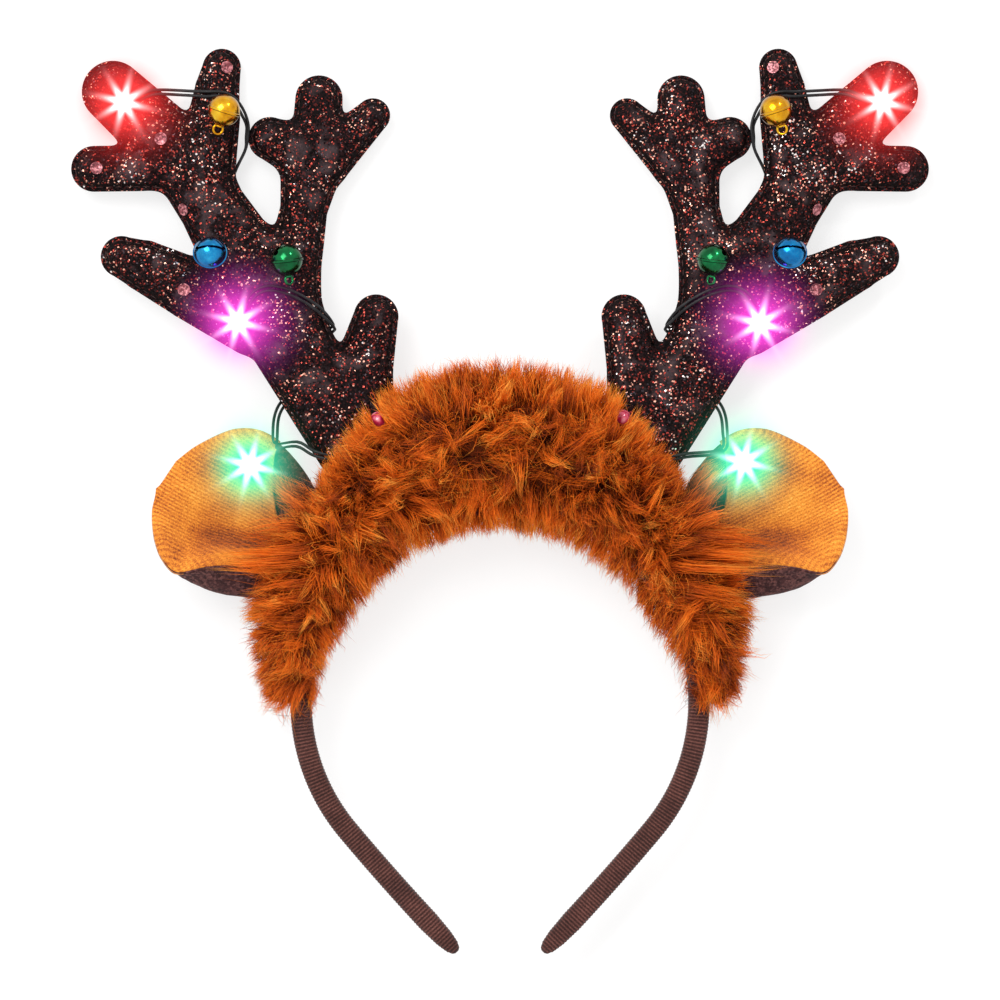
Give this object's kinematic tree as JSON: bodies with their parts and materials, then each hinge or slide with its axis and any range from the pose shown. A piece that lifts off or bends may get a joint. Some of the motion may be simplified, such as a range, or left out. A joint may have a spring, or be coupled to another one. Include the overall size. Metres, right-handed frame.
{
  "type": "reindeer antler headband",
  "caption": "Costume headband with two padded antlers, stuffed ears, a fur trim, small lamps on wires and jingle bells.",
  "frame": {"origin": "middle of the footprint, on the floor: the headband lies on its back, near the middle of the band's crown", "axes": "+Z out of the headband's front, up from the floor; +Y from the band's tips to the antlers' tips; +X to the viewer's right"},
  "size_m": [0.2684, 0.2828, 0.0455],
  "materials": {
    "band_ribbon": "ribbed ribbon wound round the band, matt",
    "fur": "fluffy rust-orange pile",
    "antler_cloth": "dark cloth with copper glitter, satin",
    "ear_face_cloth": "ribbed golden cloth, matt",
    "ear_back_cloth": "dark brown cloth, matt",
    "lamp_red": "clear tinted resin, lit",
    "lamp_magenta": "clear tinted resin, lit",
    "lamp_green": "clear tinted resin, lit",
    "lamp_pink": "clear tinted resin, unlit",
    "bell_gold": "polished",
    "bell_blue": "glossy lacquer",
    "bell_green": "glossy lacquer",
    "wire_cover": "satin"
  },
  "bodies": {
    "root": {"band": "band_ribbon", "fur_trim": "fur", "antler_L": "antler_cloth", "ear_front_L": "ear_face_cloth", "ear_back_L": "ear_back_cloth", "lamp_red_L": "lamp_red", "lamp_magenta_L": "lamp_magenta", "lamp_green_L": "lamp_green", "lamp_pink_L": "lamp_pink", "bell_gold_L": "bell_gold", "bell_blue_L": "bell_blue", "bell_green_L": "bell_green", "wire_top_a_L": "wire_cover", "wire_top_b_L": "wire_cover", "wire_mid_a_L": "wire_cover", "wire_mid_b_L": "wire_cover", "wire_ear_a_L": "wire_cover", "wire_ear_b_L": "wire_cover", "antler_R": "antler_cloth", "ear_front_R": "ear_face_cloth", "ear_back_R": "ear_back_cloth", "lamp_red_R": "lamp_red", "lamp_magenta_R": "lamp_magenta", "lamp_green_R": "lamp_green", "lamp_pink_R": "lamp_pink", "bell_gold_R": "bell_gold", "bell_blue_R": "bell_blue", "bell_green_R": "bell_green", "wire_top_a_R": "wire_cover", "wire_top_b_R": "wire_cover", "wire_mid_a_R": "wire_cover", "wire_mid_b_R": "wire_cover", "wire_ear_a_R": "wire_cover", "wire_ear_b_R": "wire_cover"}
  },
  "joints": []
}
